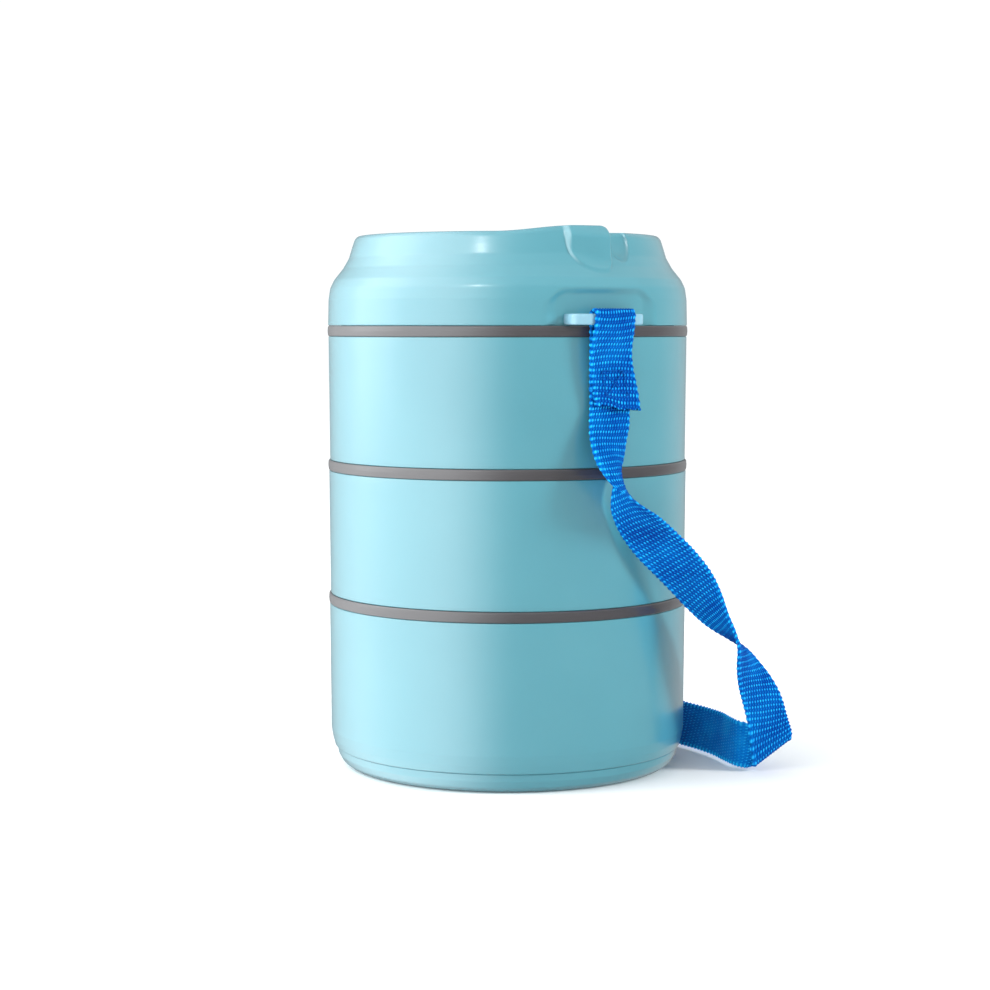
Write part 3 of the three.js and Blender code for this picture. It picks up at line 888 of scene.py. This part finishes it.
def build_strap_bar(side, place, material):
    """Staple with softly rounded section, bent out of the pocket and back. Its right end stops
    3 mm short of the CAD bar's, as the object's does."""
    right, outward = bar_frame(side)
    middle = (BAR_BASE + BAR_TOP) / 2
    half_height = (BAR_TOP - BAR_BASE) / 2 - 0.02
    thick = 1.2
    face, root, bend = 74.8 + thick, 69.1, 2.1

    def bent_end(reach):
        """One leg of the staple and its bend, from the lid outward, reach away from the middle."""
        turns = np.linspace(0.2, math.pi / 2, 7)
        corner = [(reach - bend * (1 - math.cos(a)), face - bend + bend * math.sin(a)) for a in turns]
        return [(reach, root), (reach, face - bend)] + corner

    left = [(-x, s) for x, s in bent_end(-BAR_LEFT_END - thick)]
    straight = [(x, face) for x in np.linspace(left[-1][0], BAR_RIGHT_END - thick - bend, 16)[1:-1]]
    path = np.array(left + straight + bent_end(BAR_RIGHT_END - thick)[::-1])
    ahead = unit(np.gradient(path, axis=0))
    sides = np.column_stack([-ahead[:, 1], ahead[:, 0]])
    section = []
    for k in range(28):
        turn = 2 * math.pi * k / 28
        c, s = math.cos(turn), math.sin(turn)
        section.append((np.sign(c) * abs(c) ** 0.55 * thick, np.sign(s) * abs(s) ** 0.4 * half_height))
    points, faces = [], []
    for (x, s), (nx, ns) in zip(path, sides):
        for a, b in section:
            points.append(right * (x + nx * a) + outward * (s + ns * a) + UP * (middle + b))
    count = len(section)
    for i in range(len(path) - 1):
        for k in range(count):
            m = (k + 1) % count
            faces.append((i * count + k, i * count + m, (i + 1) * count + m, (i + 1) * count + k))
    faces.append(tuple(range(count))[::-1])
    faces.append(tuple((len(path) - 1) * count + k for k in range(count)))
    piece = make_mesh(f"strap_staple_{place}", points, faces)
    place_piece(piece, "lid", material, f"strap_bar_{place}")


# ---- Materials ----


class Nodes:
    """Small helper to wire a node material."""

    def __init__(self, name):
        self.material = bpy.data.materials.new(name)
        self.material.use_nodes = True
        self.tree = self.material.node_tree
        self.shader = self.tree.nodes["Principled BSDF"]

    def add(self, kind, **settings):
        node = self.tree.nodes.new(kind)
        for key, value in settings.items():
            if key in node.inputs:
                node.inputs[key].default_value = value
            else:
                setattr(node, key, value)
        return node

    def link(self, output, target):
        self.tree.links.new(output, target)

    def math(self, operation, a, b=0.0, clamp=False):
        return combined(self.tree, operation, a, b, clamp)

    def noise(self, coordinates, scale, detail=3.0, roughness=0.5):
        node = self.add("ShaderNodeTexNoise")
        node.inputs["Scale"].default_value = scale
        node.inputs["Detail"].default_value = detail
        node.inputs["Roughness"].default_value = roughness
        self.link(coordinates, node.inputs["Vector"])
        return node.outputs["Fac"]

    def paint(self, factor, *stops):
        """Base colour by factor, each stop a position and its colour."""
        node = self.add("ShaderNodeValToRGB")
        elements = node.color_ramp.elements
        while len(elements) < len(stops):
            elements.new(0.5)
        for element, (position, colour) in zip(elements, stops):
            element.position = position
            element.color = (*colour, 1)
        self.link(factor, node.inputs["Fac"])
        self.link(node.outputs["Color"], self.shader.inputs["Base Color"])

    def scaled(self, coordinates, scale):
        node = self.add("ShaderNodeMapping")
        node.inputs["Scale"].default_value = scale
        self.link(coordinates, node.inputs["Vector"])
        return node.outputs["Vector"]

    def bump(self, height, distance, strength=1.0):
        node = self.add("ShaderNodeBump")
        node.inputs["Distance"].default_value = distance
        node.inputs["Strength"].default_value = strength
        self.link(height, node.inputs["Height"])
        self.link(node.outputs["Normal"], self.shader.inputs["Normal"])

    def set(self, **values):
        for key, value in values.items():
            self.shader.inputs[key.replace("_", " ")].default_value = value


def plastic(name, dark, light, roughness, grain=0.00002, coat=0.25, subsurface=0.0, ior=1.5):
    """Moulded plastic: faint colour drift, fine scratches in the gloss, slight orange peel."""
    m = Nodes(name)
    place = m.add("ShaderNodeTexCoord").outputs["Object"]
    drift = m.noise(place, 18, 2)
    m.paint(drift, (0.3, dark), (0.7, light))
    streaks = m.noise(m.scaled(place, (260, 260, 60)), 1.0, 4, 0.6)
    blotch = m.noise(place, 55, 4)
    rough = m.math("ADD", m.math("MULTIPLY", streaks, 0.08), m.math("MULTIPLY", blotch, 0.08))
    m.link(m.math("ADD", rough, roughness - 0.08), m.shader.inputs["Roughness"])
    peel = m.noise(place, 420, 2)
    wave = m.noise(place, 60, 1)
    m.bump(m.math("ADD", m.math("MULTIPLY", peel, 0.12), wave), grain)
    m.set(Coat_Weight=coat, Coat_Roughness=0.2, Coat_IOR=1.6, IOR=ior)
    if subsurface:
        m.set(Subsurface_Weight=subsurface, Subsurface_Scale=0.004)
        m.shader.inputs["Subsurface Radius"].default_value = (0.6, 1.0, 1.0)
    return m.material


def steel():
    """Spun stainless steel: fine rings round the axis that spread the highlights."""
    m = Nodes("spun_steel")
    place = m.add("ShaderNodeTexCoord").outputs["Object"]
    axes = m.add("ShaderNodeSeparateXYZ")
    m.link(place, axes.inputs[0])
    squares = [m.math("POWER", output, 2.0) for output in axes.outputs[:2]]
    radius = m.math("SQRT", m.math("ADD", *squares))
    combine = m.add("ShaderNodeCombineXYZ")
    m.link(radius, combine.inputs[0])
    m.link(axes.outputs[2], combine.inputs[2])
    rings = m.noise(m.scaled(combine.outputs[0], (3200, 1, 2200)), 1.0, 4, 0.65)
    smear = m.noise(place, 40, 4)
    m.paint(rings, (0.25, (0.52, 0.53, 0.54)), (0.75, (0.74, 0.74, 0.75)))
    rough = m.math("ADD", m.math("MULTIPLY", rings, 0.16), m.math("MULTIPLY", smear, 0.1))
    m.link(m.math("ADD", rough, 0.12), m.shader.inputs["Roughness"])
    m.bump(rings, 0.00002)
    m.set(Metallic=1.0)
    return m.material


def silicone():
    m = Nodes("clear_silicone")
    place = m.add("ShaderNodeTexCoord").outputs["Object"]
    cloud = m.noise(place, 90, 3)
    m.paint(cloud, (0.3, (0.74, 0.77, 0.75)), (0.7, (0.86, 0.88, 0.86)))
    m.link(m.math("ADD", m.math("MULTIPLY", cloud, 0.2), 0.4), m.shader.inputs["Roughness"])
    m.bump(m.noise(place, 900, 2), 0.00001)
    m.set(Subsurface_Weight=0.4, Subsurface_Scale=0.003)
    return m.material


def woven(name, dark, mid, light):
    """Webbing yarns: painted glints as bright slanted dashes on the floats, painted shade as a dark
    ground in the hollows between them, filaments.
    """
    m = Nodes(name)
    uv = m.add("ShaderNodeUVMap", uv_map="weave").outputs["UV"]
    selvedge = m.add("ShaderNodeAttribute", attribute_name="selvedge").outputs["Fac"]
    axes = m.add("ShaderNodeSeparateXYZ")
    m.link(uv, axes.inputs[0])
    # Both counts run from 0 to 1 over one full repeat, two half columns wide and two rows long.
    column = m.math("MULTIPLY", axes.outputs[0], 100 * COLUMNS / STRAP_WIDTH / 2)
    row = m.math("MULTIPLY", axes.outputs[1], 100 / ROW_PITCH / 2)

    def centred(value, shift):
        moved = m.math("FRACT", m.math("ADD", value, 0.5 - shift))
        return m.math("SUBTRACT", moved, 0.5)

    def dash(shift, after, half_width, half_length):
        """A slanted oval spot at a place within the repeat: 1 in its middle, 0 outside it."""
        x = centred(column, shift)
        y = m.math("ADD", centred(row, shift + after), m.math("MULTIPLY", x, 0.16))
        x = m.math("POWER", m.math("ABSOLUTE", m.math("DIVIDE", x, half_width)), 2.0)
        y = m.math("POWER", m.math("ABSOLUTE", m.math("DIVIDE", y, half_length)), 2.0)
        return m.math("SUBTRACT", 1.0, m.math("ADD", x, y), clamp=True)

    tall = m.math("ADD", dash(0, 0, 0.36, 0.15), dash(0.5, 0, 0.36, 0.15), clamp=True)
    faint = m.math("ADD", dash(0, 0.25, 0.3, 0.1), dash(0.5, 0.25, 0.3, 0.1), clamp=True)
    inner = m.math("SUBTRACT", 1.0, m.math("MULTIPLY", selvedge, 0.45), clamp=True)
    yarn = m.math("ADD", tall, m.math("MULTIPLY", faint, FAINT_FLOAT * 0.7), clamp=True)
    yarn = m.math("MULTIPLY", yarn, inner)
    # Painted highlight: the crests of the selvedges' beads are painted lighter, one per row.
    painted_bead_highlight = m.math("COSINE", m.math("MULTIPLY", row, 4 * math.pi))
    painted_bead_highlight = m.math("MULTIPLY", m.math("ADD", m.math("MULTIPLY", painted_bead_highlight, 0.2), 0.2), selvedge)
    place = m.add("ShaderNodeTexCoord").outputs["Object"]
    filament = m.noise(m.scaled(uv, (3000, 500, 1)), 1.0, 3, 0.6)
    uneven = m.noise(place, 380, 1)
    drift = m.noise(place, 70, 3)
    plain = m.add("ShaderNodeAttribute", attribute_name="plain").outputs["Fac"]
    # Painted glints: the base colour is lighter on the floats' tops, as if light caught them. The low
    # ground tone around them is painted shade in the hollows.
    glint = m.math("MULTIPLY", yarn, m.math("ADD", m.math("MULTIPLY", uneven, 1.1), 0.3))
    # Where the plain attribute is up, most of the painted glints are taken out and the painted-shade
    # ground is lifted to an even mid tone.
    glint = m.math("MULTIPLY", glint, m.math("SUBTRACT", 1.0, m.math("MULTIPLY", plain, 0.8)))
    ground = m.math("ADD", m.math("MULTIPLY", plain, 0.34), 0.12)
    tone = m.math("ADD", m.math("MULTIPLY", glint, 0.85), ground)
    tone = m.math("ADD", tone, painted_bead_highlight)
    tone = m.math("ADD", tone, m.math("MULTIPLY", m.math("SUBTRACT", filament, 0.5), 0.4))
    tone = m.math("ADD", tone, m.math("MULTIPLY", m.math("SUBTRACT", drift, 0.5), 0.45), clamp=True)
    m.paint(tone, (0.03, dark), (0.45, mid), (0.92, light))
    m.link(m.math("SUBTRACT", 0.75, m.math("MULTIPLY", yarn, 0.35)), m.shader.inputs["Roughness"])
    m.bump(m.math("ADD", yarn, m.math("MULTIPLY", filament, 0.4)), 0.0003, 0.8)
    m.set(Specular_IOR_Level=0.06)
    return m.material


def thread_material():
    m = Nodes("sewing_thread")
    place = m.add("ShaderNodeTexCoord").outputs["Object"]
    twist = m.noise(m.scaled(place, (1800, 1800, 4200)), 1.0, 2)
    m.paint(twist, (0.3, (0.0, 0.05, 0.3)), (0.7, (0.0, 0.13, 0.5)))
    m.link(m.math("ADD", m.math("MULTIPLY", twist, 0.2), 0.5), m.shader.inputs["Roughness"])
    m.bump(twist, 0.0001)
    m.set(Specular_IOR_Level=0.12)
    return m.material


def add_floor():
    reach, sides = 6.0, 24
    rows = np.linspace(-reach, reach, sides + 1)
    points = [(x / MM, y / MM, FLOOR_HEIGHT) for y in rows for x in rows]
    row = sides + 1
    corners = [j * row + i for j in range(sides) for i in range(sides)]
    faces = [(k, k + 1, k + row + 1, k + row) for k in corners]
    floor = make_mesh("floor", points, faces)
    m = Nodes("pale_floor")
    place = m.add("ShaderNodeTexCoord").outputs["Object"]
    m.paint(m.noise(place, 6, 3), (0.3, (0.93, 0.93, 0.93)), (0.7, (0.95, 0.95, 0.95)))
    m.set(Roughness=0.9)
    floor.data.materials.append(m.material)
    floor.visible_glossy = False


# ---- Assembly ----

clear_scene_extras()
add_camera()

WEBBING = woven("blue_webbing", (0.0, 0.03, 0.24), (0.0, 0.18, 0.62), (0.02, 0.55, 1.0))
THREAD = thread_material()
strap, strap_line = build_strap(WEBBING)
for bar_side, bar_place in enumerate(("front", "back")):
    build_sewn_end(bar_side, bar_place, WEBBING)
    build_stitching(bar_side, bar_place, THREAD)

AQUA = plastic(
    "aqua_plastic", (0.058, 0.262, 0.322), (0.068, 0.282, 0.342), 0.34,
    coat=1.0, subsurface=0.1, ior=1.75,
)
PALE = plastic("pale_aqua_plastic", (0.58, 0.82, 0.87), (0.62, 0.86, 0.9), 0.42)
BAR = plastic("bar_plastic", (0.2, 0.4, 0.5), (0.23, 0.43, 0.53), 0.3, subsurface=0.2)
GREY = plastic(
    "grey_band_plastic", (0.036, 0.033, 0.037), (0.05, 0.046, 0.05), 0.42,
    coat=0.8, ior=1.6,
)
STEEL = steel()
SILICONE = silicone()

build_foot(AQUA)
build_bottom_shell(AQUA)
for tier_name in ("middle", "top"):
    build_tier_shell(tier_name, AQUA)
    build_floor(f"{tier_name}_floor", f"{tier_name}_tier", PALE)
for tier_name in ("bottom", "middle", "top"):
    build_liner(tier_name, STEEL)
    build_band(tier_name, GREY)
    build_gasket(tier_name, SILICONE)
build_lid(AQUA)
build_floor("lid_floor", "lid", PALE)
for bar_side, bar_place in enumerate(("front", "back")):
    build_strap_bar(bar_side, bar_place, BAR)

add_floor()
light_scene()
